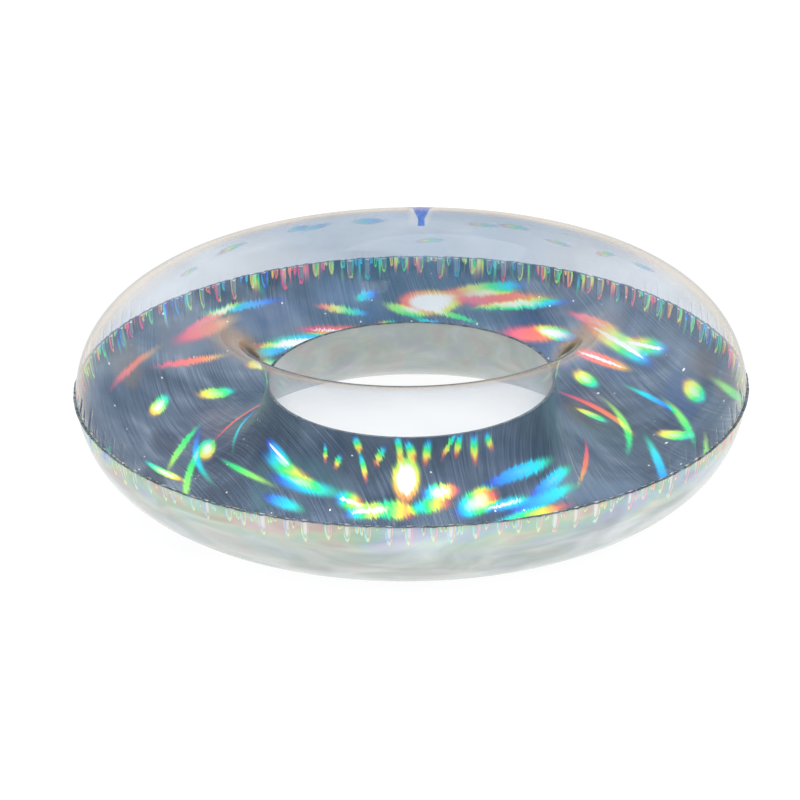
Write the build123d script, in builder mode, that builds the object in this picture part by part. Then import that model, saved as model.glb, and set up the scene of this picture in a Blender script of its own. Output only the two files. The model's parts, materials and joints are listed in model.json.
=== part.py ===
"""Inflatable swim ring: two welded sheets of PVC film and a soft push-in air valve.

Millimetres, +Z up. The origin is on the floor at the ring's centre, and the valve stands at +Y.
The ring is modelled blown up, with the valve pushed in and its plug closed.
"""
import os
from math import atan2, cos, radians, sin, tan

from build123d import *

# ---- driving dimensions of the blown-up ring ----
outer_seam_radius = 475.0        # ring centre to the outer weld
tube_half_width = 134.0          # half the tube's width, across the ring
crown_height = 123.5             # top of the clear sheet above the seams
belly_depth = 131.5              # foot of the other sheet below the seams, before it is pressed
foot_press = 1.0                 # how much the floor flattens the foot
film = 0.4                       # PVC film
weld_thickness = 2 * film        # two sheets fused into one strip
outer_weld_width = 4.0           # flange standing out of the outer seam
inner_weld_width = 4.5           # flange standing into the hole

# ---- driving dimensions of the air valve ----
valve_tilt = 22.0                # degrees its axis leans outwards from straight up
flange_radius = 20.5
flange_thickness = 0.9
valve_hole_radius = 13.5         # hole in the top sheet and in the flange
bell_wall = 0.8
bell_mouth_radius = 13.2
bell_neck_radius = 7.0
bell_shoulder_depth = 2.4        # end of the bell's upright rim, below the sheet
bell_neck_depth = 14.0           # start of the short neck round the stem
bell_end_depth = 16.0
stem_radius = 5.25
bore_radius = 4.2
stem_top_depth = 4.0
stem_end_depth = 28.0
lip_radius = 6.8
lip_height = 1.5
collar_radius = 5.9
end_flare_radius = 6.0
end_flare_height = 1.0
cap_radius = 7.2
cap_thickness = 2.4
cap_gap = 0.05                   # cap above the stem's lip
pin_length = 4.5
pin_root_radius = 3.9
pin_tip_radius = 3.0
plug_pivot_reach = 7.9           # valve axis to the plug's hinge line
pull_tab_width = 4.0
pull_tab_reach = 9.2
tether_width = 4.0
tether_thickness = 0.7
tether_gap = 0.15                # tether to the cap it holds
flap_radius = 5.2
flap_thickness = 0.8
flap_gap = 0.3                   # flap to the stem's inner end
flap_pivot_reach = 5.6           # valve axis to the flap's hinge line
flap_tab_width = 3.0

# ---- worked out from those ----
tube_centre_radius = outer_seam_radius - tube_half_width
seam_height = belly_depth - foot_press
inner_seam_radius = outer_seam_radius - 2 * tube_half_width
valve_polar = atan2(crown_height, tube_half_width * tan(radians(valve_tilt)))
valve_seat = (
    0,
    tube_centre_radius + tube_half_width * cos(valve_polar),
    seam_height + crown_height * sin(valve_polar),
)
valve_normal = (0, sin(radians(valve_tilt)), cos(radians(valve_tilt)))
valve_plane = Plane(origin=valve_seat, x_dir=(1, 0, 0), z_dir=valve_normal)
# A section through the valve axis: across is outwards over the tube, up is along the valve axis.
valve_section = Plane(
    origin=valve_seat,
    x_dir=(0, cos(radians(valve_tilt)), -sin(radians(valve_tilt))),
    z_dir=(1, 0, 0),
)
valve_axis = Axis(valve_seat, valve_normal)


def tube_section(half_height, inset, low, high):
    """An oval half as tall as given, inset by a wall, kept between two heights over the seam."""
    with BuildSketch(Plane.XZ, mode=Mode.PRIVATE) as section:
        with Locations((tube_centre_radius, seam_height)):
            Ellipse(tube_half_width - inset, half_height - inset)
        with Locations((tube_centre_radius, seam_height + low)):
            Rectangle(2 * tube_half_width, high - low, align=(Align.CENTER, Align.MIN), mode=Mode.INTERSECT)
    return section.sketch


def save(piece, node):
    piece.part.label = node
    export_step(piece.part, f"parts/{node}.step")


os.makedirs("parts", exist_ok=True)

# ---- top sheet: clear film from the inner seam over the crown to the outer seam ----
with BuildPart() as top_panel:
    with BuildSketch(Plane.XZ):
        add(tube_section(crown_height, 0, weld_thickness / 2, crown_height))
        add(tube_section(crown_height, film, 0, crown_height), mode=Mode.SUBTRACT)
    revolve(axis=Axis.Z)
    with BuildSketch(valve_plane):
        Circle(valve_hole_radius)
    extrude(amount=flange_radius / 2, both=True, mode=Mode.SUBTRACT)
save(top_panel, "top_panel")

# ---- bottom sheet: holographic film, pressed flat where it stands on the floor ----
with BuildPart() as bottom_panel:
    with BuildSketch(Plane.XZ):
        add(tube_section(belly_depth, 0, -seam_height, -weld_thickness / 2))
        add(tube_section(belly_depth, film, film - seam_height, 0), mode=Mode.SUBTRACT)
    revolve(axis=Axis.Z)
save(bottom_panel, "bottom_panel")


# ---- weld bands: the fused strips where the two sheets meet ----
def weld_band(inside_radius, outside_radius):
    with BuildPart() as band:
        with BuildSketch(Plane.XY.offset(seam_height)):
            Circle(outside_radius)
            Circle(inside_radius, mode=Mode.SUBTRACT)
        extrude(amount=weld_thickness / 2, both=True)
    return band


outer_weld_band = weld_band(outer_seam_radius - film, outer_seam_radius + outer_weld_width)
save(outer_weld_band, "outer_weld_band")
inner_weld_band = weld_band(inner_seam_radius - inner_weld_width, inner_seam_radius + film)
save(inner_weld_band, "inner_weld_band")

# ---- valve flange: a disc that follows the sheet it is welded under ----
with BuildPart() as valve_flange:
    with BuildSketch(Plane.XZ):
        add(tube_section(crown_height, film, 0, crown_height))
        add(tube_section(crown_height, film + flange_thickness, 0, crown_height), mode=Mode.SUBTRACT)
    revolve(axis=Axis.Z)
    with BuildSketch(valve_plane):
        Circle(flange_radius)
        Circle(valve_hole_radius, mode=Mode.SUBTRACT)
    extrude(amount=flange_radius / 2, both=True, mode=Mode.INTERSECT)
save(valve_flange, "valve_flange")

# ---- valve bell: the soft funnel between the flange and the stem ----
with BuildPart() as valve_bell:
    with BuildSketch(valve_section):
        with BuildLine():
            Polyline(
                (bell_mouth_radius, -bell_wall),
                (bell_mouth_radius, -bell_shoulder_depth),
                (bell_neck_radius, -bell_neck_depth),
                (bell_neck_radius, -bell_end_depth),
                (bell_neck_radius - bell_wall, -bell_end_depth),
                (bell_neck_radius - bell_wall, -bell_neck_depth),
                (bell_mouth_radius - bell_wall, -bell_shoulder_depth),
                (bell_mouth_radius - bell_wall, -bell_wall),
                close=True,
            )
        make_face()
    revolve(axis=valve_axis)
save(valve_bell, "valve_bell")

# ---- valve stem: the tube that is blown into, with a lip, a collar and a flared inner end ----
with BuildPart() as valve_stem:
    with BuildSketch(valve_plane.offset(-stem_end_depth)):
        Circle(stem_radius)
    extrude(amount=stem_end_depth - stem_top_depth)
    with BuildSketch(valve_plane.offset(-stem_end_depth)):
        Circle(end_flare_radius)
    extrude(amount=end_flare_height)
    with BuildSketch(valve_plane.offset(-bell_end_depth)):
        Circle(collar_radius)
    extrude(amount=bell_end_depth - bell_neck_depth)
    with BuildSketch(valve_plane.offset(-stem_top_depth)):
        Circle(lip_radius)
    extrude(amount=-lip_height)
    with BuildSketch(valve_plane.offset(-stem_end_depth)):
        Circle(bore_radius)
    extrude(amount=stem_end_depth - stem_top_depth, mode=Mode.SUBTRACT)
    lip_edges = valve_stem.edges().filter_by(GeomType.CIRCLE).group_by(SortBy.RADIUS)[-1]
    fillet(lip_edges, radius=lip_height / 4)
save(valve_stem, "valve_stem")

# ---- plug: a cap with a tapered pin and a tab to pull it by ----
with BuildPart() as valve_plug:
    with BuildSketch(valve_plane.offset(cap_gap - stem_top_depth)):
        Circle(cap_radius)
        with Locations((0, -cap_radius)):
            Rectangle(pull_tab_width, 2 * (pull_tab_reach - cap_radius))
    extrude(amount=cap_thickness)
    cap_rim = valve_plug.edges().group_by(SortBy.LENGTH)[-1]
    fillet(cap_rim, radius=cap_thickness / 5)
    with BuildSketch(valve_plane.offset(cap_gap - stem_top_depth)):
        Circle(pin_root_radius)
    with BuildSketch(valve_plane.offset(cap_gap - stem_top_depth - pin_length)):
        Circle(pin_tip_radius)
    loft()
save(valve_plug, "valve_plug")

# ---- tether: a soft strap looped from under the stem's lip, round the hinge line, to the cap ----
tether_foot = -stem_top_depth - lip_height
tether_head = cap_gap - stem_top_depth + (cap_thickness + tether_thickness) / 2
with BuildPart() as plug_tether:
    with BuildSketch(valve_section):
        with BuildLine():
            Polyline(
                (stem_radius, tether_foot - tether_thickness),
                (plug_pivot_reach + tether_thickness, tether_foot - tether_thickness),
                (plug_pivot_reach + tether_thickness, tether_head),
                (cap_radius + tether_gap, tether_head),
                (cap_radius + tether_gap, tether_head - tether_thickness),
                (plug_pivot_reach, tether_head - tether_thickness),
                (plug_pivot_reach, tether_foot),
                (stem_radius, tether_foot),
                close=True,
            )
        make_face()
    extrude(amount=tether_width / 2, both=True)
save(plug_tether, "plug_tether")

# ---- check flap: the disc that the air inside presses shut under the stem ----
with BuildPart() as check_flap:
    with BuildSketch(valve_plane.offset(-stem_end_depth - flap_gap)):
        Circle(flap_radius)
        with Locations((0, flap_pivot_reach / 2)):
            Rectangle(flap_tab_width, flap_pivot_reach + flap_thickness)
    extrude(amount=-flap_thickness)
save(check_flap, "check_flap")

pieces = (top_panel, bottom_panel, outer_weld_band, inner_weld_band, valve_flange, valve_bell, valve_stem,
          valve_plug, plug_tether, check_flap)
for piece in pieces:
    print(f"{piece.part.label}: {piece.part.volume / 1000:.2f} cm3")
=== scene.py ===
# %% [markdown]
# # An inflatable pool float, step by step
# The real thing is a swim ring of soft plastic film: two flat rings cut from sheet, welded together along
# their outer and inner edges and blown up. The upper sheet is clear. The lower sheet is a silvery film that
# breaks light into rainbows inside the tube and looks like grey pearl from outside. A small blue valve
# sits in the top.
#
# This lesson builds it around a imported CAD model, which gives every size. The CAD model comes in first, and
# nothing in it is moved.

# %% Load the frame
import json
import math
import random

import bmesh
import bpy
import numpy as np
from mathutils import Matrix, Vector


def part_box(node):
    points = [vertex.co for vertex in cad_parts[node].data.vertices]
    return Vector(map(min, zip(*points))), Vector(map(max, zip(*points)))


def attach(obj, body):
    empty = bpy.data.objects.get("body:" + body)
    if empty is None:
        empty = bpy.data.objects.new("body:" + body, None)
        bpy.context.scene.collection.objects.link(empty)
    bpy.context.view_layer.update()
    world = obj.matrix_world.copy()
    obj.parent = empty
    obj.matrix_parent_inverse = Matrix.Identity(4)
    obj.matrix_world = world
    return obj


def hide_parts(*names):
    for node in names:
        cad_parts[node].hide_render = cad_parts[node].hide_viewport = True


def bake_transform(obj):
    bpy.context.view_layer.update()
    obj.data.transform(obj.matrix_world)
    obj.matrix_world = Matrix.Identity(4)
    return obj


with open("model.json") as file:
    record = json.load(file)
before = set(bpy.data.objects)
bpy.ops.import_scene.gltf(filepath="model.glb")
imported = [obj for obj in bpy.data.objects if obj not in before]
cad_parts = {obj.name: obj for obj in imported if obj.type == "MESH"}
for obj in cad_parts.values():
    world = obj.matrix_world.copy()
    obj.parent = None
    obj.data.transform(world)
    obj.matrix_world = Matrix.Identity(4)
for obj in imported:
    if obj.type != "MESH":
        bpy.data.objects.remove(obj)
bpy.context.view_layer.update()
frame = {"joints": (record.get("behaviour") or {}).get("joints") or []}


# %% [markdown]
# ## Sizes read from the frame
# Both sheets meet at the height of the weld. Half the gap between the inner and outer weld is half the width
# of the tube, and the height of the upper sheet gives its crown. The belly hangs a little deeper than the
# crown stands, and the floor presses its foot flat by a millimetre. Reading them from the frame keeps every
# new piece on the CAD, so nothing has to be fitted by eye.

# %% Sizes of the tube
top_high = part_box("top_panel")[1]
outer_low, outer_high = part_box("outer_weld_band")
inner_low, inner_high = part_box("inner_weld_band")
seam_height = (outer_low.z + outer_high.z) / 2
seam_radius = top_high.x
foot_press = 0.001
crown_rise = top_high.z - seam_height
belly_drop = seam_height + foot_press
film = 0.0004
hole_radius = inner_high.x - film
tube_middle = (seam_radius + hole_radius) / 2
tube_width = (seam_radius - hole_radius) / 2
print("tube middle", round(tube_middle, 4), "half width", round(tube_width, 4))
print("crown above the weld", round(crown_rise, 4), "belly below it", round(belly_drop, 4))


# %% [markdown]
# ## Camera
# A long lens a few metres away flattens the ring into an even oval. The camera looks down by about 24 degrees
# and a little from the right of the valve, so the valve stands just right of the middle at the far side.

# %% Place the camera
camera_tilt = math.radians(24.02)
camera_swing = math.radians(3.04)
camera_distance = 4.069
camera_roll = math.radians(0.795)
aim_middle = Vector((0, 0, 0.1137))
away = Vector((math.sin(camera_swing) * math.cos(camera_tilt),
               -math.cos(camera_swing) * math.cos(camera_tilt),
               math.sin(camera_tilt)))
turn = (-away).to_track_quat("-Z", "Y").to_matrix()
aim = aim_middle - 0.0159 * turn.col[0] - 0.0168 * turn.col[1]
camera_data = bpy.data.cameras.new("camera")
camera_data.lens = 128.25
camera_data.sensor_width = 36
camera = bpy.data.objects.new("camera", camera_data)
bpy.context.scene.collection.objects.link(camera)
camera.rotation_mode = "QUATERNION"
camera.location = aim + away * camera_distance
camera.rotation_quaternion = (turn @ Matrix.Rotation(-camera_roll, 3, "Z")).to_quaternion()
bpy.context.scene.camera = camera
bpy.context.scene.view_settings.view_transform = "Standard"
print("camera at", [round(v, 3) for v in camera.location])


# %% [markdown]
# ## Floor and studio light
# The float stands on a plain white floor in even light. The sky of the scene is a soft white, brighter above
# than at the horizon, and two large lamps give the glossy film something to mirror.

# %% Floor and lamps
def nothing_selected():
    bpy.ops.object.select_all(action="DESELECT")


def only(piece):
    """Select one piece and make it the active one."""
    nothing_selected()
    piece.select_set(True)
    bpy.context.view_layer.objects.active = piece


def named(name):
    """Name the active object and its mesh."""
    piece = bpy.context.object
    piece.name = name
    piece.data.name = name
    return piece


nothing_selected()
bpy.ops.mesh.primitive_plane_add(size=60, location=(0, 0, 0))
floor = named("studio_floor")

world = bpy.data.worlds.new("soft_studio")
bpy.context.scene.world = world
world.use_nodes = True
sky = world.node_tree.nodes["Background"]
sky.inputs["Color"].default_value = (0.985, 0.99, 1.0, 1)
sky.inputs["Strength"].default_value = 0.95


def lamp(name, place, size, power):
    """A large square lamp that shines at the middle of the float."""
    data = bpy.data.lights.new(name, "AREA")
    data.size = size
    data.energy = power
    shining = bpy.data.objects.new(name, data)
    bpy.context.scene.collection.objects.link(shining)
    shining.location = place
    shining.rotation_mode = "QUATERNION"
    shining.rotation_quaternion = (Vector(place) - aim_middle).to_track_quat("Z", "Y")
    return shining


lamp("lamp_above", (-0.6, 0.4, 3.2), 2.2, 34)
lamp("lamp_front", (1.6, -2.6, 2.2), 1.2, 16)


# %% [markdown]
# ## A short way to write shader nodes
# A node tree is easier to read as a sum than as a list of nodes and links. A Wire is one value on its way
# from node to node. Adding or multiplying two wires puts in a Math node, and the Board keeps the tree.

# %% Wires and boards
class Wire:
    def __init__(self, board, socket):
        self.board = board
        self.socket = socket

    def __add__(self, other):
        return self.board.sum("ADD", self, other)

    def __radd__(self, other):
        return self.board.sum("ADD", other, self)

    def __sub__(self, other):
        return self.board.sum("SUBTRACT", self, other)

    def __rsub__(self, other):
        return self.board.sum("SUBTRACT", other, self)

    def __mul__(self, other):
        return self.board.sum("MULTIPLY", self, other)

    def __rmul__(self, other):
        return self.board.sum("MULTIPLY", other, self)

    def __truediv__(self, other):
        return self.board.sum("DIVIDE", self, other)


class Board:
    def __init__(self, tree):
        self.tree = tree

    def put(self, socket, value):
        """Give a socket a number, a colour or the end of a wire."""
        if isinstance(value, Wire):
            self.tree.links.new(value.socket, socket)
        else:
            socket.default_value = value

    def add(self, kind, inputs=None, **settings):
        """Add a node with its settings and its inputs by name or number."""
        node = self.tree.nodes.new(kind)
        for key, value in settings.items():
            setattr(node, key, value)
        for key, value in (inputs or {}).items():
            self.put(node.inputs[key], value)
        return node

    def out(self, node, key=0):
        return Wire(self, node.outputs[key])

    def sum(self, operation, first, second=0.0, clamp=False):
        node = self.add("ShaderNodeMath", {0: first, 1: second}, operation=operation, use_clamp=clamp)
        return self.out(node)

    def clamp(self, value):
        return self.sum("ADD", value, 0.0, clamp=True)

    def line(self, value, slope, start):
        """A straight line: value times slope, plus start."""
        node = self.add("ShaderNodeMath", {0: value, 1: slope, 2: start}, operation="MULTIPLY_ADD")
        return self.out(node)

    def spread(self, value, low, high, top=1.0):
        """Smooth step from 0 at low to the top value at high. High may be below low."""
        limits = {"Value": value, "From Min": low, "From Max": high, "To Max": top}
        node = self.add("ShaderNodeMapRange", limits, interpolation_type="SMOOTHSTEP")
        return self.out(node)

    def vector(self, x=0.0, y=0.0, z=0.0):
        return self.out(self.add("ShaderNodeCombineXYZ", {0: x, 1: y, 2: z}))

    def parts(self, vector):
        node = self.add("ShaderNodeSeparateXYZ", {0: vector})
        return self.out(node, 0), self.out(node, 1), self.out(node, 2)

    def blend(self, share, first, second, way="MIX"):
        """Mix two colours."""
        node = self.add("ShaderNodeMix", {0: share}, data_type="RGBA", blend_type=way)
        self.put(node.inputs[6], first)
        self.put(node.inputs[7], second)
        return self.out(node, 2)

    def noise(self, vector, scale, detail=2.0, rough=0.5, twist=0.0):
        node = self.add("ShaderNodeTexNoise", {"Vector": vector, "Scale": scale, "Detail": detail,
                                               "Roughness": rough, "Distortion": twist})
        return self.out(node, "Fac")

    def ramp(self, value, stops):
        """A colour ramp from a list of (place, red, green, blue)."""
        node = self.add("ShaderNodeValToRGB", {0: value})
        band = node.color_ramp.elements
        while len(band) < len(stops):
            band.new(0.5)
        for element, (place, red, green, blue) in zip(band, stops):
            element.position = place
            element.color = (red, green, blue, 1)
        return self.out(node, 0)


def open_group(name, inputs, outputs):
    """Start a shader group. Inputs and outputs are lists of (name, kind)."""
    tree = bpy.data.node_groups.new(name, "ShaderNodeTree")
    for direction, sockets in (("INPUT", inputs), ("OUTPUT", outputs)):
        for label, kind in sockets:
            tree.interface.new_socket(label, in_out=direction, socket_type=f"NodeSocket{kind}")
    board = Board(tree)
    start = tree.nodes.new("NodeGroupInput")
    end = tree.nodes.new("NodeGroupOutput")
    return board, {label: board.out(start, label) for label, _ in inputs}, end


def new_finish(name):
    """A fresh material with a board and its surface shader."""
    material = bpy.data.materials.new(name)
    material.use_nodes = True
    board = Board(material.node_tree)
    surface = material.node_tree.nodes["Principled BSDF"]
    return material, board, surface


# %% [markdown]
# ## Puckers at the outer weld
# The sheets are cut flat. When air makes the tube round, its outer edge has to get shorter, so the film
# gathers at the weld in hundreds of small sharp valleys, mostly in close pairs. They are sculpted in code.
# Each valley has its own width, depth and reach, from a seeded random source, so the ring is the same on
# every run.

# %% Lay out the puckers
pucker_count = 107
full_depth = 0.0040
dice = random.Random(41)
puckers = []
for number in range(pucker_count):
    middle = (number + dice.uniform(-0.2, 0.2)) / pucker_count * math.tau
    strong = dice.uniform(0.4, 1.0)
    puckers.append((middle, dice.uniform(0.0040, 0.0058), full_depth * strong,
                    0.016 + 0.024 * strong * dice.uniform(0.5, 1.0)))
    for spot in (0.32, 0.5, 0.68):
        if dice.random() < 0.62:
            between = middle + (spot + dice.uniform(-0.06, 0.06)) / pucker_count * math.tau
            puckers.append((between, dice.uniform(0.0018, 0.0030), full_depth * dice.uniform(0.3, 0.6),
                            dice.uniform(0.006, 0.017)))
print("puckers round the ring:", len(puckers))


def pucker_depths(angles, distances):
    """How deep each point sinks, and on which side of its pucker it lies, from -1 to 1."""
    sink = np.zeros(len(angles))
    side = np.zeros(len(angles))
    for middle, width, depth, reach in puckers:
        across = ((angles - middle + math.pi) % math.tau - math.pi) * seam_radius
        along = 1 - distances / reach
        near = np.flatnonzero((np.abs(across) < width) & (along > 0))
        here = width * np.sqrt(1 - (1 - along[near]) ** 2)
        place = across[near] / here
        valley = np.clip(1 - place ** 2, 0, 1)
        valley = valley * valley * (3 - 2 * valley)
        deep = depth * valley * np.minimum(1, along[near] * 2.4)
        won = deep > sink[near]
        sink[near[won]] = deep[won]
        side[near[won]] = np.clip(place[won], -1, 1)
    return sink, side


# %% [markdown]
# ## The two films
# Half a torus is half of the tube. A torus is added and every face divided once. The half that isn't needed
# is deleted, and the rows next to the outer weld are divided finely enough to hold the puckers. Then each
# point is moved onto the exact oval section of the tube.
#
# The flat sheet matters for the pattern: a texture map keeps where each point lay before the sheet was
# blown up, so brushed lines stay straight on the sheet and bend with the tube, as on the real film.

# %% Model a film
rows_round_tube = 24
steps_round_ring = 250
fine_rows = 4
fine_cuts = 3
row_crowding = 1.35
section_angle = np.linspace(0, math.pi, 721)


def section_lengths(rise):
    """How far along the oval section each angle lies from the outer weld."""
    step = np.hypot(np.diff(tube_width * np.cos(section_angle)), np.diff(rise * np.sin(section_angle)))
    return np.concatenate([[0], np.cumsum(step)])


film_length = float(section_lengths(belly_drop)[-1])
print("clear film from weld to weld:", round(float(section_lengths(crown_rise)[-1]), 4), "m")
print("laser film from weld to weld:", round(film_length, 4), "m")


def film_half(name, upper, pucker_strength):
    """One film, upper or lower, as a thin sculpted sheet."""
    nothing_selected()
    bpy.ops.mesh.primitive_torus_add(major_radius=tube_middle, minor_radius=tube_width,
                                     major_segments=steps_round_ring, minor_segments=rows_round_tube,
                                     location=(0, 0, seam_height))
    piece = named(name)
    bpy.ops.object.transform_apply(location=True)
    bpy.ops.object.mode_set(mode="EDIT")
    bpy.ops.mesh.select_all(action="SELECT")
    bpy.ops.mesh.subdivide(number_cuts=1)
    bpy.ops.mesh.select_all(action="DESELECT")
    sheet = bmesh.from_edit_mesh(piece.data)
    side = 1 if upper else -1
    for face in sheet.faces:
        face.select_set((face.calc_center_median().z - seam_height) * side < 0)
    bmesh.update_edit_mesh(piece.data)
    bpy.ops.mesh.delete(type="FACE")
    sheet = bmesh.from_edit_mesh(piece.data)
    fine_angle = fine_rows * math.pi / rows_round_tube
    for face in sheet.faces:
        spot = face.calc_center_median()
        out = math.hypot(spot.x, spot.y) - tube_middle
        face.select_set(math.atan2(abs(spot.z - seam_height), out) < fine_angle)
    bmesh.update_edit_mesh(piece.data)
    bpy.ops.mesh.subdivide(number_cuts=fine_cuts)
    bpy.ops.object.mode_set(mode="OBJECT")
    shape_film(piece, side, pucker_strength)
    return piece


def shape_film(piece, side, pucker_strength):
    """Move the points onto the oval section, press in the puckers, and map the flat sheet."""
    count = len(piece.data.vertices)
    points = np.zeros(count * 3)
    piece.data.vertices.foreach_get("co", points)
    points = points.reshape(-1, 3)
    around = np.arctan2(points[:, 1], points[:, 0])
    out = np.hypot(points[:, 0], points[:, 1]) - tube_middle
    lift = np.abs(points[:, 2] - seam_height)
    lift[lift < 1e-5] = 0
    rise = crown_rise if side > 0 else belly_drop
    lengths = section_lengths(rise)
    from_weld = lengths[-1] * (np.arctan2(lift, out) / math.pi) ** row_crowding
    turn_up = np.interp(from_weld, lengths, section_angle)
    sink, lean = pucker_depths(around, from_weld)
    sink = sink * pucker_strength
    swell = 0.0007 * np.clip(1 - from_weld / 0.03, 0, 1) * np.clip(from_weld / 0.004, 0, 1)
    normal_out = np.cos(turn_up) / tube_width
    normal_up = np.sin(turn_up) / rise
    length = np.hypot(normal_out, normal_up)
    move = swell - sink
    radius = tube_middle + tube_width * np.cos(turn_up) + move * normal_out / length
    height = seam_height + side * (rise * np.sin(turn_up) + move * normal_up / length)
    wave = seam_wave(around)
    near_seam = np.clip(1 - from_weld / 0.012, 0, 1) ** 2
    height = height + wave * near_seam
    height = np.maximum(height, 0.0)
    points = np.stack([radius * np.cos(around), radius * np.sin(around), height], 1)
    piece.data.vertices.foreach_set("co", points.ravel())
    for label, values in (("pucker", sink / full_depth), ("pucker_side", lean)):
        keep = piece.data.attributes.new(label, "FLOAT", "POINT")
        keep.data.foreach_set("value", values.astype(np.float32))
    sheet_radius = hole_radius + lengths[-1] - from_weld
    flat = np.stack([sheet_radius * np.cos(around), sheet_radius * np.sin(around)], 1)
    corner = np.zeros(len(piece.data.loops), np.int32)
    piece.data.loops.foreach_get("vertex_index", corner)
    for layer in list(piece.data.uv_layers):
        piece.data.uv_layers.remove(layer)
    layer = piece.data.uv_layers.new(name="flat_sheet")
    layer.uv.foreach_set("vector", flat[corner].astype(np.float32).ravel())
    piece.data.update()


def seam_wave(angles):
    """The weld line rises and falls a little as the film beside it gathers."""
    wave = np.zeros(len(angles))
    for middle, width, depth, reach in puckers:
        across = np.abs((angles - middle + math.pi) % math.tau - math.pi) * seam_radius
        wave -= 0.30 * depth * np.exp(-(across / (width * 0.6)) ** 2)
    return wave + 0.0003 * np.sin(angles * 61) + 0.0002 * np.sin(angles * 173 + 1)


def give_wall(piece, thickness):
    """Turn the sheet into a thin closed wall, with the second material on its inner side."""
    only(piece)
    wall = piece.modifiers.new("wall", "SOLIDIFY")
    wall.thickness = thickness
    wall.offset = -1
    wall.material_offset = 1
    wall.material_offset_rim = 1
    bpy.ops.object.modifier_apply(modifier=wall.name)
    bpy.ops.object.shade_smooth_by_angle(angle=math.radians(50))
    triangles = sum(len(face.vertices) - 2 for face in piece.data.polygons)
    print(piece.name, "has", triangles, "triangles")


clear_film = film_half("clear_film", True, 0.55)
laser_film = film_half("laser_film", False, 1.0)


# %% [markdown]
# ## The weld bands
# Heat presses both sheets into one flat lip, about 4 mm wide and 0.8 mm thick. Outside, the gathered film
# makes the lip wavy. At the hole it is pulled tight and stays smooth. Each lip starts as a slim torus,
# flattened and laid along the same wave as the films.

# %% Model the weld bands
def weld_band(name, low, high, wavy):
    """A flat welded lip between two radii."""
    reach = high.x
    thickness = high.z - low.z
    inner_edge = seam_radius - 0.0004 if wavy else hole_radius - 0.0045
    width = reach - inner_edge
    nothing_selected()
    bpy.ops.mesh.primitive_torus_add(major_radius=inner_edge + width / 2, minor_radius=width / 2,
                                     major_segments=steps_round_ring, minor_segments=8,
                                     location=(0, 0, seam_height))
    piece = named(name)
    bpy.ops.object.transform_apply(location=True)
    bpy.ops.object.mode_set(mode="EDIT")
    bpy.ops.mesh.select_all(action="DESELECT")
    ring = bmesh.from_edit_mesh(piece.data)
    for edge in ring.edges:
        first, second = edge.verts
        same_height = abs(first.co.z - second.co.z) < 1e-5
        same_radius = abs(first.co.xy.length - second.co.xy.length) < 1e-5
        edge.select_set(same_height and same_radius)
    bmesh.update_edit_mesh(piece.data)
    bpy.ops.mesh.subdivide(number_cuts=7 if wavy else 1)
    bpy.ops.object.mode_set(mode="OBJECT")
    points = np.zeros(len(piece.data.vertices) * 3)
    piece.data.vertices.foreach_get("co", points)
    points = points.reshape(-1, 3)
    around = np.arctan2(points[:, 1], points[:, 0])
    middle = inner_edge + width / 2
    across = np.hypot(points[:, 0], points[:, 1]) - middle
    across = np.clip(across / (width / 2), -1, 1)
    lift = (points[:, 2] - seam_height) / (width / 2)
    ridge = np.sign(lift) * np.minimum(np.abs(lift) * 2.2, 1) * thickness / 2
    wave = seam_wave(around) if wavy else np.zeros(len(around))
    ripple = 0.35 + 0.65 * (across + 1) / 2
    scallop = wave * 0.5 if wavy else wave
    radius = middle + across * width / 2 + scallop * ripple
    height = seam_height + ridge + wave * (0.9 + 0.6 * ripple) - wave * 0.3
    print(name, "wave", round(float(wave.min()), 5), round(float(wave.max()), 5))
    points = np.stack([radius * np.cos(around), radius * np.sin(around), height], 1)
    piece.data.vertices.foreach_set("co", points.ravel())
    piece.data.update()
    only(piece)
    bpy.ops.object.shade_smooth()
    return piece


outer_weld = weld_band("outer_weld", outer_low, outer_high, True)
inner_weld = weld_band("inner_weld", inner_low, inner_high, False)


# %% [markdown]
# ## The valve
# The valve is a soft funnel with a short tube in its middle. You pull the tube up to blow, close it with a
# plug, and push it back in so that nothing stands proud. A thin disc under the film holds it. Every round
# part is made as a potter would: a circle is drawn up and widened or narrowed ring by ring. Parts are made
# round the Z axis at the origin and then put in place all at once.

# %% Where the valve stands
joints = {joint["name"]: joint for joint in frame["joints"]}
valve_up = Vector(joints["stem_pull_out"]["axis"]).normalized()
valve_out = Vector((0, valve_up.z, -valve_up.y))
valve_tilt = math.atan2(valve_up.y, valve_up.z)
valve_polar = math.atan2(crown_rise, tube_width * math.tan(valve_tilt))
valve_seat = Vector((0, tube_middle + tube_width * math.cos(valve_polar),
                     seam_height + crown_rise * math.sin(valve_polar)))
valve_frame = Matrix.Translation(valve_seat) @ Matrix(((1, 0, 0), (0, valve_out.y, valve_up.y),
                                                       (0, valve_out.z, valve_up.z))).to_4x4()
print("valve seat", [round(v, 4) for v in valve_seat])


def put_in_place(piece):
    """Move a part made round the origin to the valve, with its place kept in its mesh."""
    only(piece)
    piece.matrix_world = valve_frame @ piece.matrix_world
    bpy.ops.object.transform_apply(location=True, rotation=True, scale=True)


# %% [markdown]
# ## Turned parts
# A turned part starts as a circle. Each step extrudes its rim to the next height and scales it to the next
# radius. A part with a hole ends where it began, and the two rims are merged. A solid part ends
# in one point.

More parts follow.
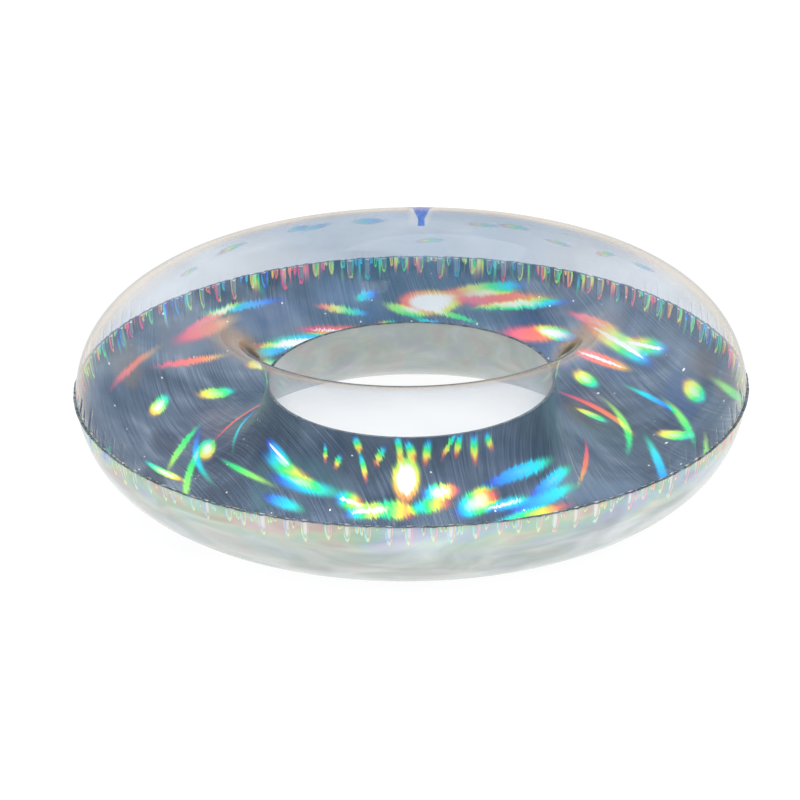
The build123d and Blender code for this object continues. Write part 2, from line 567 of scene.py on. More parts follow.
# %% Turn a part
def turned(name, profile, steps=64, solid=False):
    """A round part from its (radius, height) outline, in millimetres."""
    radius, height = (value / 1000 for value in profile[0])
    nothing_selected()
    bpy.ops.mesh.primitive_circle_add(vertices=steps, radius=radius, location=(0, 0, height),
                                      fill_type="TRIFAN" if solid else "NOTHING")
    piece = named(name)
    bpy.ops.object.transform_apply(location=True)
    bpy.ops.object.mode_set(mode="EDIT")
    bpy.ops.mesh.select_all(action="DESELECT")
    ring = bmesh.from_edit_mesh(piece.data)
    for edge in ring.edges:
        edge.select_set(all(corner.co.xy.length > radius * 0.99 for corner in edge.verts))
    bmesh.update_edit_mesh(piece.data)
    for next_radius, next_height in profile[1:]:
        next_radius, next_height = next_radius / 1000, next_height / 1000
        bpy.ops.mesh.extrude_edges_move(TRANSFORM_OT_translate={"value": (0, 0, next_height - height)})
        scale = next_radius / radius
        bpy.ops.transform.resize(value=(scale, scale, 1), center_override=(0, 0, next_height))
        radius, height = next_radius, next_height
    if solid:
        bpy.ops.mesh.merge(type="CENTER")
    bpy.ops.mesh.select_all(action="SELECT")
    bpy.ops.mesh.remove_doubles(threshold=0.00001)
    bpy.ops.mesh.normals_make_consistent(inside=False)
    bpy.ops.object.mode_set(mode="OBJECT")
    return piece


def rounded(piece, width, segments=2):
    """Break the sharp edges, then shade the part smooth."""
    only(piece)
    if width:
        soft = piece.modifiers.new("soft_edges", "BEVEL")
        soft.width = width
        soft.segments = segments
        soft.limit_method = "ANGLE"
        soft.angle_limit = math.radians(40)
        bpy.ops.object.modifier_apply(modifier=soft.name)
    bpy.ops.object.shade_smooth_by_angle(angle=math.radians(45))


# %% [markdown]
# ## Flange and funnel
# The flange has raised rings, pressed in by the welding tool, and follows the round of the tube. The funnel
# has soft folds, because it is pushed in and pulled out like a sleeve.

# %% Flange and funnel
flange_outline = [
    (13.5, -1.3), (20.1, -1.3), (20.5, -1.1), (20.5, -0.75), (20.1, -0.55), (19.4, -0.45), (18.9, -0.6),
    (18.3, -0.6), (17.8, -0.45), (17.2, -0.6), (16.6, -0.6), (16.1, -0.45), (15.5, -0.6), (14.6, -0.6),
    (14.1, -0.45), (13.5, -0.5), (13.5, -1.3)]
flange = turned("valve_flange_disc", flange_outline, 96)
for corner in flange.data.vertices:
    spot = valve_frame @ Vector((corner.co.x, corner.co.y, 0))
    spread_out = spot.xy.length - tube_middle
    reach = max(-1.0, min(1.0, spread_out / tube_width))
    slope = Vector((reach / tube_width, math.sqrt(1 - reach * reach) / crown_rise)).normalized()
    outward = spot.xy.normalized()
    surface_point = Vector((spot.x, spot.y, seam_height + crown_rise * math.sqrt(1 - reach * reach)))
    corner.co = surface_point + corner.co.z * Vector((outward.x * slope.x, outward.y * slope.x, slope.y))
rounded(flange, 0)

bell_outline = [
    (13.6, -0.7), (13.2, -1.0), (13.2, -2.4), (12.3, -4.2), (11.2, -6.4), (10.0, -8.7), (8.6, -11.3),
    (7.3, -13.6), (7.0, -14.3), (7.0, -15.8), (6.7, -16.0), (6.35, -16.0), (6.2, -15.7), (6.2, -14.2),
    (6.5, -13.3), (7.8, -11.0), (9.2, -8.4), (10.4, -6.1), (11.5, -3.9), (12.4, -2.2), (12.4, -0.9),
    (12.6, -0.6), (13.3, -0.5), (13.6, -0.7)]
bell = turned("valve_funnel", bell_outline, 96)
for corner in bell.data.vertices:
    depth = -corner.co.z * 1000
    fold = max(0.0, 1 - abs(depth - 8.0) / 6.0) * 0.035
    angle = math.atan2(corner.co.y, corner.co.x)
    wave = 1 + fold * (math.sin(9 * angle) + 0.4 * math.sin(5 * angle + depth * 0.5))
    corner.co.x *= wave
    corner.co.y *= wave
rounded(bell, 0)


# %% [markdown]
# ## Stem, plug and flap
# The stem is the tube you blow into. Its lip keeps the plug's cap from slipping through, and the collar
# sits in the funnel's neck. The plug has a tapered pin with a sealing ring. A thin flap under the stem
# closes by itself.

# %% Stem, plug and flap
stem_outline = [
    (4.2, -28.0), (5.6, -28.0), (5.95, -27.8), (6.0, -27.4), (5.9, -27.05), (5.4, -26.9), (5.25, -26.5),
    (5.25, -16.3), (5.5, -16.0), (5.9, -15.8), (5.9, -14.3), (5.5, -14.05), (5.25, -13.7), (5.25, -9.4),
    (5.5, -9.15), (5.5, -8.75), (5.25, -8.5), (5.25, -7.9), (5.5, -7.65), (5.5, -7.25), (5.25, -7.0),
    (5.25, -5.7), (5.6, -5.5), (6.5, -5.45), (6.8, -5.1), (6.8, -4.4), (6.5, -4.05), (4.6, -4.0),
    (4.2, -4.3), (4.2, -28.0)]
stem = turned("valve_tube", stem_outline, 64)
rounded(stem, 0)

plug_outline = [
    (2.6, -8.45), (3.0, -8.2), (3.25, -7.2), (3.55, -6.9), (3.55, -6.6), (3.35, -6.3), (3.9, -3.95),
    (6.9, -3.95), (7.2, -3.7), (7.2, -1.95), (7.05, -1.7), (6.75, -1.55), (6.2, -1.55), (5.9, -1.8),
    (3.4, -1.8), (3.1, -1.6), (2.2, -1.55)]
plug = turned("valve_plug_cap", plug_outline, 64, solid=True)
rounded(plug, 0)


def strip(name, size, place, bevel):
    """A small flat bar with softened edges, its size and place in millimetres."""
    nothing_selected()
    bpy.ops.mesh.primitive_cube_add(size=1, location=[value / 1000 for value in place],
                                    scale=[value / 1000 for value in size])
    piece = named(name)
    bpy.ops.object.transform_apply(location=True, scale=True)
    bpy.ops.object.mode_set(mode="EDIT")
    bpy.ops.mesh.select_all(action="SELECT")
    bpy.ops.mesh.bevel(offset=bevel / 1000, segments=2, affect="EDGES")
    bpy.ops.object.mode_set(mode="OBJECT")
    return piece


def joined(piece, *others):
    """Make several meshes one piece."""
    nothing_selected()
    for other in others:
        other.select_set(True)
    piece.select_set(True)
    bpy.context.view_layer.objects.active = piece
    bpy.ops.object.join()
    rounded(piece, 0)
    return piece


tab = strip("pull_tab", (4.0, 2.6, 1.2), (0, -7.85, -2.9), 0.35)
grip_1 = strip("grip_1", (3.2, 0.35, 0.3), (0, -8.1, -2.25), 0.1)
grip_2 = strip("grip_2", (3.2, 0.35, 0.3), (0, -8.7, -2.25), 0.1)
plug = joined(plug, tab, grip_1, grip_2)

flap_outline = [
    (4.6, -28.35), (5.0, -28.3), (5.2, -28.5), (5.2, -28.9), (5.0, -29.1), (4.0, -29.1), (3.6, -29.0),
    (1.5, -28.95)]
flap = turned("valve_flap", flap_outline, 48, solid=True)
flap_tab = strip("flap_tab", (3.0, 2.2, 0.7), (0, 5.2, -28.7), 0.2)
flap = joined(flap, flap_tab)

# %% [markdown]
# ## Tether
# A strap holds the plug to the tube so that it can't get lost. It is one edge drawn along its path, given a
# wall, and rounded at its turns.

# %% Tether
nothing_selected()
bpy.ops.mesh.primitive_plane_add(size=0.004, location=(0, 0.0074, -0.00655))
tether = named("plug_strap")
bpy.ops.object.transform_apply(location=True)
bpy.ops.object.mode_set(mode="EDIT")
bpy.ops.mesh.select_all(action="DESELECT")
strap = bmesh.from_edit_mesh(tether.data)
strap_start, strap_turn = 5.4, 8.25
for corner in strap.verts:
    corner.co.y = (strap_turn if corner.co.y > 0.0074 else strap_start) / 1000
for edge in strap.edges:
    edge.select_set(all(corner.co.y > 0.008 for corner in edge.verts))
bmesh.update_edit_mesh(tether.data)
for move in ((0, 0.0, 0.0021), (0, 0.0, 0.0021), (0, -0.00085, 0.0)):
    bpy.ops.mesh.extrude_edges_move(TRANSFORM_OT_translate={"value": move})
bpy.ops.object.mode_set(mode="OBJECT")
wall = tether.modifiers.new("wall", "SOLIDIFY")
wall.thickness = 0.0007
wall.offset = 0
bpy.ops.object.modifier_apply(modifier=wall.name)
rounded(tether, 0.00022, 3)

valve_pieces = (bell, stem, plug, flap, tether)
for piece in valve_pieces:
    put_in_place(piece)
print("valve pieces:", [piece.name for piece in valve_pieces] + [flange.name])


# %% [markdown]
# ## The hole under the valve
# The clear film has a round hole where the funnel passes. A cylinder is subtracted from it once the film has
# its wall.

# %% Cut the hole
def cut_valve_hole(piece, radius):
    nothing_selected()
    bpy.ops.mesh.primitive_cylinder_add(vertices=72, radius=radius, depth=0.03)
    cutter = named("hole_cutter")
    put_in_place(cutter)
    cut = piece.modifiers.new("valve_hole", "BOOLEAN")
    cut.operation = "DIFFERENCE"
    cut.solver = "EXACT"
    cut.object = cutter
    only(piece)
    bpy.ops.object.modifier_apply(modifier=cut.name)
    bpy.data.objects.remove(cutter)
    print(piece.name, "after the cut:", len(piece.data.polygons), "faces")


# %% [markdown]
# ## The rainbow group
# The silvery film carries a microscopic grating. It fans white light out, violet to red, across every bright
# patch. One group turns a number from 0 to 1 into that fan of colour, and all the materials share it.

# %% Group: rainbow
rainbow, given, end = open_group("rainbow", [("Place", "Float")], [("Colour", "Color")])
fan = rainbow.ramp(given["Place"], [
    (0.0, 0.10, 0.02, 0.75), (0.16, 0.03, 0.10, 1.0), (0.33, 0.0, 0.72, 0.95), (0.48, 0.03, 0.90, 0.18),
    (0.62, 0.85, 0.95, 0.08), (0.78, 1.0, 0.22, 0.08), (1.0, 0.95, 0.03, 0.25)])
rainbow.put(end.inputs["Colour"], fan)


def rainbow_on(board, place):
    """The rainbow group, placed in a material or another group."""
    node = board.add("ShaderNodeGroup", node_tree=rainbow.tree)
    board.put(node.inputs["Place"], place)
    return board.out(node, "Colour")


# %% [markdown]
# ## The flat sheet group
# Patterns on the film follow the sheet it was cut from. This group reads the flat map and gives the cosine
# and sine of the angle round the ring, and how far the point is from the inner weld, in metres.

# %% Group: flat sheet
sheet_board, given, end = open_group(
    "flat_sheet_place", [("Map", "Vector")],
    [("Cosine", "Float"), ("Sine", "Float"), ("From Hole", "Float")])
flat_x, flat_y, _ = sheet_board.parts(given["Map"])
flat_radius = sheet_board.sum("SQRT", flat_x * flat_x + flat_y * flat_y)
sheet_board.put(end.inputs["Cosine"], flat_x / flat_radius)
sheet_board.put(end.inputs["Sine"], flat_y / flat_radius)
sheet_board.put(end.inputs["From Hole"], flat_radius - hole_radius)


def sheet_place(board):
    """Map, cosine, sine and distance from the hole, for a material on one of the films."""
    flat_map = board.out(board.add("ShaderNodeUVMap", uv_map="flat_sheet"))
    node = board.add("ShaderNodeGroup", node_tree=sheet_board.tree)
    board.put(node.inputs["Map"], flat_map)
    return flat_map, board.out(node, "Cosine"), board.out(node, "Sine"), board.out(node, "From Hole")


# %% [markdown]
# ## Where the painted flecks of light lie
# The grating turns every lamp of the studio into flecks of split light. Here they are painted highlights,
# laid into the film's colour and glow: wide blots with white-hot middles, comets that fan out of the hole,
# long thin arcs. One even scatter looks like confetti, so each stretch of the film gets a family of its own:
# comets near the hole at the front, arcs along the ring at both sides, broad streaks at the back. A seeded
# random source lays the flecks of a family within its limits.
#
# Each fleck is an ellipse on the flat sheet, in millimetres and degrees, that may be bent into an arc. It has
# a colour at each end, as places in the rainbow, and a strength. Where the strengths add up to well over one
# the light burns out to white, and a core is a thin bright line inside a fleck.

# %% Lay out the flecks
light = random.Random(12)
whole, cool, green, warm, pale_fan = (0.06, 1.0), (0.10, 0.48), (0.40, 0.60), (0.64, 1.0), (0.30, 0.78)
core_length, core_width, core_strength = 0.78, 0.2, 3.0


def family(count, angles, reaches, turn, sway, lengths, widths, curl, fans, strengths, cores=0):
    """Flecks over one stretch of film, turned from the line out of the hole. Curl 1 follows the ring."""
    rows = []
    for number in range(count):
        angle = angles[0] + (angles[1] - angles[0]) * (number + light.uniform(0.2, 0.8)) / count
        radius = hole_radius * 1000 + light.uniform(*reaches)
        x = radius * math.cos(math.radians(angle))
        y = radius * math.sin(math.radians(angle))
        way = angle + turn + light.uniform(-sway, sway)
        length = light.uniform(*lengths)
        width = light.uniform(*widths)
        bend = curl * light.uniform(0.6, 1.4) * length ** 2 / (2 * radius * width)
        first, last = light.choice(fans)
        rows.append((x, y, way, length, width, bend, first, last, light.uniform(*strengths)))
        if number < cores:
            core_bend = bend * core_length ** 2 / core_width
            rows.append((x, y, way, length * core_length, width * core_width, core_bend, first, last,
                         core_strength))
    return rows


comets = family(12, (236, 306), (12, 48), 0, 35, (12, 28), (4, 8), 0, [whole], (0.9, 1.3))
near_blots = family(6, (246, 298), (76, 112), 90, 15, (26, 42), (10, 20), 0.3, [whole], (1.1, 2.0), 2)
near_hot = family(1, (268, 272), (52, 62), 0, 5, (28, 32), (19, 23), 0, [(0.5, 0.8)], (2.8, 2.9))
left_streaks = family(4, (214, 238), (60, 150), 90, 8, (45, 90), (8, 14), 0.8, [whole, cool], (1.0, 1.3), 1)
right_streaks = family(5, (302, 326), (60, 140), 90, 8, (45, 100), (6, 12), 0.8, [whole, cool], (1.0, 1.5), 1)
left_arcs = family(8, (148, 208), (110, 370), 90, 12, (75, 135), (4, 7), 1, [green, warm, cool], (0.8, 1.2))
right_arcs = family(9, (-26, 38), (110, 380), 90, 12, (75, 135), (4, 8), 1, [green, warm, cool], (0.9, 1.2))
left_blots = family(5, (118, 200), (150, 370), 90, 35, (30, 52), (9, 14), 0, [pale_fan], (1.5, 2.1))
right_blots = family(6, (-24, 52), (150, 385), 90, 35, (30, 55), (10, 16), 0, [pale_fan], (1.5, 2.1))
broad = [whole, warm, cool]
far_left = family(8, (104, 146), (280, 372), 90, 12, (50, 100), (6, 13), 0.8, broad, (1.0, 1.4), 2)
far_right = family(9, (38, 82), (280, 372), 90, 12, (50, 105), (7, 17), 0.8, broad, (1.0, 1.6), 3)
far_hot = family(1, (86, 90), (338, 346), 90, 4, (52, 58), (19, 22), 0, [(0.55, 0.85)], (2.7, 2.8))
far_small = family(6, (82, 108), (300, 368), 90, 18, (18, 52), (4, 9), 0.5, [whole, cool, green], (0.9, 1.7))
flecks = (comets + near_blots + near_hot + left_streaks + right_streaks + left_arcs + right_arcs
          + left_blots + right_blots + far_left + far_right + far_hot + far_small)
clear_flecks = family(11, (38, 142), (325, 378), 90, 12, (16, 34), (4, 7), 0.6, [whole, cool], (0.6, 0.9))

tints = {"navy": (0.022, 0.04, 0.095, 1), "slate": (0.05, 0.085, 0.125, 1), "tan": (0.3, 0.2, 0.13, 1),
         "blue": (0.055, 0.13, 0.36, 1), "sky": (0.24, 0.36, 0.52, 1), "teal": (0.07, 0.24, 0.27, 1)}


def shades(tint, count, angles, reaches, strength):
    """Broad soft patches of one tint, painted shade or painted reflection."""
    rows = family(count, angles, reaches, 90, 30, (40, 95), (18, 36), 0, [whole], (1, 1))
    return [row[:5] + (tint, strength) for row in rows]


# Patches of painted shade (navy, slate, blue) and painted reflection (tan, sky, teal).
patches = (shades("navy", 3, (165, 225), (180, 330), 0.7) + shades("navy", 3, (-40, 15), (220, 340), 0.6)
           + shades("tan", 2, (140, 170), (350, 395), 0.7) + shades("tan", 2, (5, 30), (350, 395), 0.6)
           + shades("blue", 3, (15, 70), (230, 330), 0.6) + shades("sky", 2, (115, 155), (300, 370), 0.5)
           + shades("sky", 2, (310, 345), (60, 160), 0.5) + shades("teal", 2, (205, 240), (50, 120), 0.45)
           + shades("slate", 2, (250, 290), (5, 20), 0.5) + shades("blue", 2, (95, 135), (300, 370), 0.5))
print("flecks on the laser film:", len(flecks), "on the clear film:", len(clear_flecks))
print("soft patches of tint:", len(patches))


halo = 1.35


def fleck_place(board, flat_x, flat_y, row):
    """How far a point lies along and across a fleck. Its soft halo ends at one."""
    x, y, turn, length, width = row[:5]
    ways = []
    for angle, half in ((math.radians(turn), length * halo), (math.radians(turn + 90), width * halo)):
        step_x, step_y = 1000 * math.cos(angle) / half, 1000 * math.sin(angle) / half
        start = -(x * step_x + y * step_y) / 1000
        ways.append(board.line(flat_x, step_x, board.line(flat_y, step_y, start)))
    return ways


def fleck_group(name, rows):
    """A shader group that adds up its flecks: the colour's share, and share times place in the rainbow."""
    board, given, end = open_group(
        name, [("Flat X", "Float"), ("Flat Y", "Float")],
        [("Share", "Float"), ("Mixed", "Float")])
    share, mixed = 0.0, 0.0
    for row in rows:
        bend, first, last, strength = row[5:]
        along, across = fleck_place(board, given["Flat X"], given["Flat Y"], row)
        square = along * along
        if abs(bend) > 0.1:
            across = board.line(square, -bend, across)
        cross = across * across
        mask = board.spread(1.0 - square - cross, 0.0, 1.1)
        mask = board.sum("POWER", mask, 1.7) * (strength * 1.15)
        mixed = board.line(mask, board.line(along, (last - first) / 2, (first + last) / 2), mixed)
        share = mask + share
    board.put(end.inputs["Share"], share)
    board.put(end.inputs["Mixed"], mixed)
    return board.tree


group_size = 16
fleck_groups = [fleck_group(f"flecks_{start // group_size + 1}", flecks[start:start + group_size])
                for start in range(0, len(flecks), group_size)]
clear_groups = [fleck_group("flecks_on_clear_film", clear_flecks)]


def fleck_field(board, flat_x, flat_y, groups):
    """Fleck groups added up in a material: the colour's share, its place in the rainbow, and white."""
    share, mixed = 0.0, 0.0
    for tree in groups:
        node = board.add("ShaderNodeGroup", node_tree=tree)
        board.put(node.inputs["Flat X"], flat_x)
        board.put(node.inputs["Flat Y"], flat_y)
        share = board.out(node, "Share") + share
        mixed = board.out(node, "Mixed") + mixed
    return board.clamp(share), mixed / (share + 0.0001), board.spread(share, 1.35, 2.60)


# %% [markdown]
# ## Finish: the inside of the laser film
# Seen from inside, the silvery film is a dull slate blue with fine brushed lines, all in one direction on the
# flat sheet. Painted shade makes it darker and bluer in some places, and a painted reflection of the room
# makes it warm in others. The painted flecks of light lie on it, and their edges fray along the brushed
# lines. Narrow rainbow highlights, painted in, run down the puckers.

# %% Material: laser film, inner side
laser_inside, board, surface = new_finish("laser_film_inside")
flat_map, cosine, sine, from_hole = sheet_place(board)
from_seam = film_length - from_hole

brush_turn = math.radians(64)
brushed = board.add("ShaderNodeMapping", {"Vector": flat_map, "Rotation": (0, 0, brush_turn)})
brush_x, brush_y, _ = board.parts(board.out(brushed))
brush = board.noise(board.vector(brush_x * 6.0, brush_y * 360.0), 1.0, 2.0, 0.6)
cloud = board.noise(flat_map, 5.5, 3.0, 0.6, 0.8)
tone = board.clamp((cloud - 0.5) * 1.5 + 0.50 + (brush - 0.5) * 0.9)
slate = board.ramp(tone, [(0.08, 0.020, 0.036, 0.075), (0.36, 0.070, 0.115, 0.19), (0.60, 0.16, 0.225, 0.325),
                          (0.88, 0.40, 0.47, 0.58)])
flat_x, flat_y, _ = board.parts(flat_map)
drift = (cloud - 0.5) * 0.05
# Painted shade and painted reflection: soft patches make the slate darker and bluer in places, and warm where
# the film mirrors the room.
for row in patches:
    along, across = fleck_place(board, flat_x + drift, flat_y - drift, row)
    shade = board.spread(1.0 - along * along - across * across, 0.0, 0.9, row[6])
    slate = board.blend(shade, slate, tints[row[5]])
seam_band = board.spread(from_seam + (brush - 0.5) * 0.01, 0.030, 0.018)
slate = board.blend(seam_band * 0.75, slate, (0.025, 0.075, 0.12, 1))

fray = (brush - 0.5) * 0.020
frayed_x = flat_x + fray * math.cos(brush_turn)
frayed_y = flat_y - fray * math.sin(brush_turn)
# Painted highlights: the flecks of split lamp light are laid into the colour, their edges frayed along the
# brushed lines.
share, rainbow_place, heat = fleck_field(board, frayed_x, frayed_y, fleck_groups)
fleck_colour = rainbow_on(board, rainbow_place)
colours = board.blend(share * 0.95, slate, fleck_colour)
# Painted glow: the flecks also shine as emission, though the film is no lamp.
glow = board.blend(share * share, (0.0, 0.0, 0.0, 1), fleck_colour)
# Painted highlights on the puckers: thin rainbow rims down each valley, white where it is deepest.
pucker = board.out(board.add("ShaderNodeAttribute", attribute_name="pucker"), "Fac")
lean = board.out(board.add("ShaderNodeAttribute", attribute_name="pucker_side"), "Fac")
pucker_highlight_rim = board.spread(pucker, 0.03, 0.16) * board.spread(pucker, 0.62, 0.30)
highlight_chance = board.noise(board.vector(cosine * 16.0, sine * 16.0), 1.0, 1.0)
pucker_highlight_colour = rainbow_on(board, board.clamp(highlight_chance * 2.6 - 0.8 + lean * 0.15 + from_seam * 6.0))
# Painted glints on the gathered film near the weld, with painted shade in the gaps between them.
glint = board.noise(board.vector(cosine * 62.0, sine * 62.0, from_hole * 9.0), 1.0, 1.0)
glint_zone = board.spread(from_seam + (highlight_chance - 0.5) * 0.05, 0.040, 0.010)
painted_gap_shade = board.spread(glint, 0.50, 0.38) * glint_zone
colours = board.blend(painted_gap_shade * 0.7, colours, (0.02, 0.05, 0.09, 1))
pucker_highlight_rim = pucker_highlight_rim + board.spread(glint, 0.53, 0.66) * glint_zone
pucker_highlight_white = board.spread(pucker, 0.45, 0.75) + board.spread(glint, 0.66, 0.74) * glint_zone
pucker_highlight_share = board.clamp(pucker_highlight_rim * (0.45 + highlight_chance))
colours = board.blend(pucker_highlight_share, colours, pucker_highlight_colour)
glow = board.blend(pucker_highlight_share * pucker_highlight_share, glow, pucker_highlight_colour)
colours = board.blend(board.clamp(pucker_highlight_white) * 0.6, colours, (0.80, 0.88, 0.95, 1))
# Painted glints: tiny white dots, and white where the flecks burn out.
painted_glint_dots = board.spread(board.noise(flat_map, 105.0, 0.0), 0.83, 0.87)
white = board.clamp(heat + painted_glint_dots)
colours = board.blend(white, colours, (1, 1, 0.97, 1))
glow = board.blend(white, glow, (1, 1, 0.96, 1))

board.put(surface.inputs["Base Color"], colours)
# The painted glow of the flecks, pucker highlights and glints goes out as emission.
board.put(surface.inputs["Emission Color"], glow)
surface.inputs["Emission Strength"].default_value = 0.5
surface.inputs["Metallic"].default_value = 0.35
surface.inputs["Roughness"].default_value = 0.3
groove = board.add("ShaderNodeBump", {"Height": brush, "Strength": 0.3, "Distance": 0.0015})
board.put(surface.inputs["Normal"], board.out(groove))


# %% [markdown]
# ## Finish: the outside of the laser film
# From outside the same film is pale grey pearl with soft broad bands. Near the weld the puckers break the
# light into thin pastel rainbows, painted in as highlights with white in the deepest valleys. The map of the
# puckers, kept on the mesh, tells the material where.

# %% Material: laser film, outer side
pearl, board, surface = new_finish("laser_film_outside")
flat_map, cosine, sine, from_hole = sheet_place(board)
from_seam = film_length - from_hole
bands = board.noise(board.vector(cosine * 1.6, sine * 1.6, from_hole * 10.0), 2.2, 3.0, 0.5, 0.9)
pale = board.ramp(bands, [(0.25, 0.33, 0.36, 0.355), (0.46, 0.43, 0.47, 0.46), (0.60, 0.54, 0.57, 0.565),
                          (0.8, 0.72, 0.74, 0.73)])
hole_side = board.spread(from_hole, 0.20, 0.10)
pale = board.blend(hole_side * 0.6, pale, (0.33, 0.355, 0.345, 1))
# Painted shade: the low part of the hole's wall at both sides of the ring turns dark navy.
hole_wall_painted_shade = board.spread(from_hole, 0.095, 0.135) * board.spread(from_hole, 0.24, 0.16)
pale = board.blend(hole_wall_painted_shade * board.spread(cosine * cosine, 0.08, 0.35) * 0.85, pale, (0.045, 0.07, 0.10, 1))
tint_place = board.noise(board.vector(cosine * 3.0, sine * 3.0, from_hole * 16.0), 1.8, 1.0)
tint = rainbow_on(board, board.clamp(tint_place * 1.8 - 0.4))
pale = board.blend(0.03 + board.spread(from_seam, 0.055, 0.012) * 0.13, pale, tint)
pucker = board.out(board.add("ShaderNodeAttribute", attribute_name="pucker"), "Fac")
lean = board.out(board.add("ShaderNodeAttribute", attribute_name="pucker_side"), "Fac")
# Painted highlights on the puckers: pastel rainbow rims, and white in the deepest valleys.
rim = board.spread(pucker, 0.015, 0.09) * board.spread(pucker, 0.42, 0.20)
chance = board.noise(board.vector(cosine * 14.0, sine * 14.0), 1.0, 0.0)
rim_colour = rainbow_on(board, board.clamp(0.60 + lean * 0.36 + (chance - 0.5) * 0.9))
pale = board.blend(rim * 0.80, pale, board.blend(0.45, rim_colour, (1, 1, 1, 1)))
pale = board.blend(board.spread(pucker, 0.30, 0.8) * 0.75, pale, (0.90, 0.90, 0.90, 1))
board.put(surface.inputs["Base Color"], pale)
surface.inputs["Metallic"].default_value = 0.2
surface.inputs["Roughness"].default_value = 0.24
surface.inputs["Coat Weight"].default_value = 0.3


# %% [markdown]
# ## Finish: the clear film
# Clear vinyl barely shows where you look straight through it, and shows most where it turns edge on: there it
# goes grey, then a warm tan picked up from the silvery film, with a thin dark line at the very
# edge. Layer Weight knows how edge-on a surface is. Alpha makes the rest see-through.

# %% Material: clear film
clear_outside, board, surface = new_finish("clear_film_outside")
flat_map, cosine, sine, from_hole = sheet_place(board)
edge = board.out(board.add("ShaderNodeLayerWeight", {"Blend": 0.5}), "Facing")
streak = board.noise(board.vector(cosine * 1.6, sine * 1.6, from_hole * 7.0), 2.0, 1.5, 0.5, 0.5)
hole_half = board.spread(from_hole, 0.25, 0.17)
# Painted reflection: the film has no colour of its own. Its blue-grey body and cover are bluer and denser on
# the far half of the ring, and a painted sheen thickens them over the shoulders.
far_half_painted_reflection = board.spread(sine, 0.35, 0.95)
shoulder_painted_sheen = board.spread(cosine * cosine, 0.45, 0.95)
body = board.ramp(streak, [(0.3, 0.13, 0.25, 0.43), (0.7, 0.42, 0.55, 0.70)])
body = board.blend(far_half_painted_reflection * 0.75, body, (0.075, 0.22, 0.38, 1))
tan = board.spread(edge, 0.62, 0.82)
tan_colour = board.blend(hole_half, (0.80, 0.66, 0.49, 1), (0.52, 0.31, 0.13, 1))
body = board.blend(tan * 0.9, body, tan_colour)
line = board.spread(edge, 0.80, 0.91)
body = board.blend(line, body, (0.11, 0.11, 0.10, 1))
painted_reflection_cover = 0.07 + (0.4 + streak * 1.2) * (far_half_painted_reflection * 0.32 + shoulder_painted_sheen * 0.16)
cover = board.clamp(painted_reflection_cover + board.spread(edge, 0.3, 0.8) * 0.08 + tan * 0.30 + line * (0.45 + hole_half * 0.3))
# Painted highlights: flecks of split light on the clear film, white where they burn out, also shining as
# emission.
flat_x, flat_y, _ = board.parts(flat_map)
drift = (streak - 0.5) * 0.03
share, rainbow_place, heat = fleck_field(board, flat_x + drift, flat_y - drift, clear_groups)
white = board.clamp(heat)
pastel = board.blend(0.25, rainbow_on(board, rainbow_place), (1, 1, 1, 1))
fleck_colour = board.blend(white, pastel, (1, 1, 1, 1))
fleck_share = board.clamp(share + white)
body = board.blend(fleck_share, body, fleck_colour)
board.put(surface.inputs["Emission Color"], board.blend(fleck_share, (0.0, 0.0, 0.0, 1), fleck_colour))
surface.inputs["Emission Strength"].default_value = 0.5
cover = board.clamp(cover + share * 0.60 + white * 0.6)
over_valve = board.spread(board.sum("ABSOLUTE", cosine), 0.062, 0.036) * board.spread(sine, 0.0, 0.5)
over_valve = over_valve * board.spread(from_hole, 0.15, 0.20) * board.spread(from_hole, 0.31, 0.28)
cover = cover * (1.0 - over_valve * 0.60)
board.put(surface.inputs["Base Color"], body)
board.put(surface.inputs["Alpha"], cover)
surface.inputs["Roughness"].default_value = 0.06
surface.inputs["IOR"].default_value = 1.53

clear_inside, board, surface = new_finish("clear_film_inside")
edge = board.out(board.add("ShaderNodeLayerWeight", {"Blend": 0.5}), "Facing")
surface.inputs["Base Color"].default_value = (0.42, 0.50, 0.57, 1)
board.put(surface.inputs["Alpha"], 0.03 + board.spread(edge, 0.3, 0.95) * 0.12)
surface.inputs["Roughness"].default_value = 0.06
surface.inputs["IOR"].default_value = 1.53


# %% [markdown]
# ## Finish: the weld, the valve and the floor
# Two thicknesses of film pressed together look darker than one. The valve is soft blue vinyl, dense where it
# is thick.

# %% Materials: weld, valve, floor
weld_finish, board, surface = new_finish("weld_lip")
object_place = board.out(board.add("ShaderNodeTexCoord"), "Object")
mottle = board.noise(object_place, 90.0, 2.0)
mottled = board.ramp(mottle, [(0.35, 0.045, 0.065, 0.085), (0.6, 0.15, 0.19, 0.23), (0.75, 0.34, 0.40, 0.45)])
board.put(surface.inputs["Base Color"], mottled)
surface.inputs["Roughness"].default_value = 0.2
surface.inputs["Alpha"].default_value = 0.85

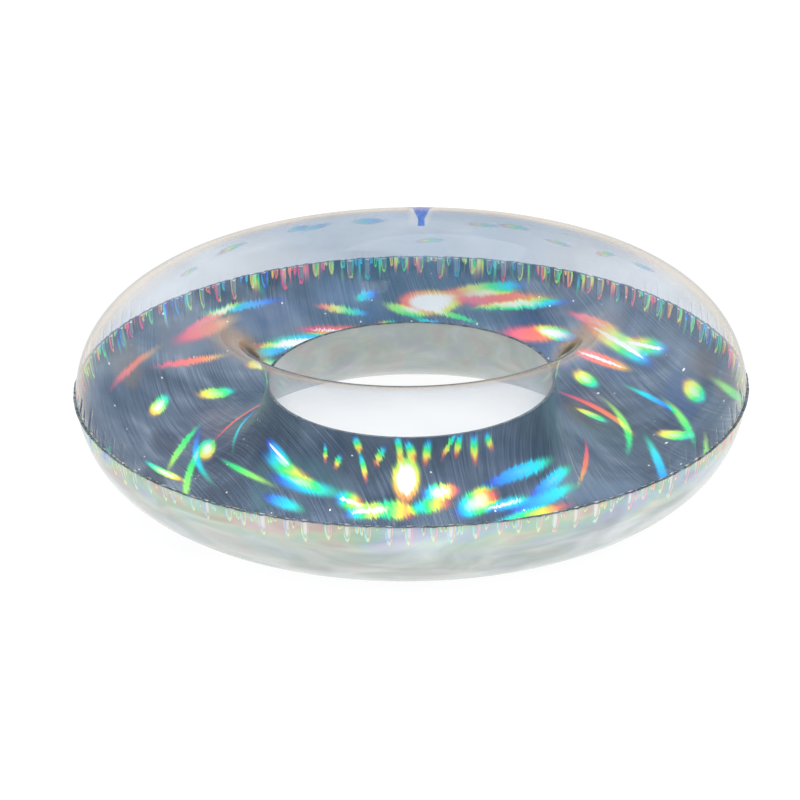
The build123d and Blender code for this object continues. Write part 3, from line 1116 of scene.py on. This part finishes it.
valve_finish, board, surface = new_finish("valve_blue_vinyl")
object_place = board.out(board.add("ShaderNodeTexCoord"), "Object")
edge = board.out(board.add("ShaderNodeLayerWeight", {"Blend": 0.4}), "Facing")
cloudy = board.noise(object_place, 140.0, 3.0)
blue = board.ramp(cloudy, [(0.3, 0.025, 0.13, 0.70), (0.7, 0.13, 0.36, 0.95)])
blue = board.blend(board.spread(edge, 0.5, 1.0) * 0.6, blue, (0.015, 0.06, 0.50, 1))
board.put(surface.inputs["Base Color"], blue)
# Painted glow: the blue also shines as a faint emission, though the valve is no lamp.
board.put(surface.inputs["Emission Color"], blue)
surface.inputs["Emission Strength"].default_value = 0.25
board.put(surface.inputs["Alpha"], board.clamp(0.72 + board.spread(edge, 0.3, 0.9) * 0.28))
surface.inputs["Roughness"].default_value = 0.18
surface.inputs["Coat Weight"].default_value = 0.3

floor_finish, board, surface = new_finish("studio_floor")
surface.inputs["Base Color"].default_value = (0.16, 0.16, 0.16, 1)
surface.inputs["Roughness"].default_value = 0.9
surface.inputs["Specular IOR Level"].default_value = 0.0
surface.inputs["Emission Color"].default_value = (1, 1, 1, 1)
surface.inputs["Emission Strength"].default_value = 0.90
floor.data.materials.append(floor_finish)


# %% [markdown]
# ## Give the films their walls and finishes
# Solidify makes the wall. Its material offset puts the second finish on the inner side.

# %% Walls and finishes
clear_film.data.materials.append(clear_outside)
clear_film.data.materials.append(clear_inside)
laser_film.data.materials.append(pearl)
laser_film.data.materials.append(laser_inside)
give_wall(clear_film, film)
give_wall(laser_film, film)
outer_weld.data.materials.append(weld_finish)
inner_weld.data.materials.append(weld_finish)
valve_hole_radius = 0.0135
cut_valve_hole(clear_film, valve_hole_radius)
for piece in valve_pieces + (flange,):
    piece.data.materials.append(valve_finish)

for piece, node, slot in ((clear_film, "top_panel", "clear_film"), (laser_film, "bottom_panel", "laser_film"),
                          (outer_weld, "outer_weld_band", "weld"), (inner_weld, "inner_weld_band", "weld")):
    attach(piece, "ring")
    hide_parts(node)
for piece, body, node in ((flange, "ring", "valve_flange"), (stem, "stem", "valve_stem"),
                          (plug, "plug", "valve_plug"), (flap, "flap", "check_flap")):
    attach(piece, body)
    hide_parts(node)


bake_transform(bell)
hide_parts("valve_bell")
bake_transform(tether)
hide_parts("plug_tether")
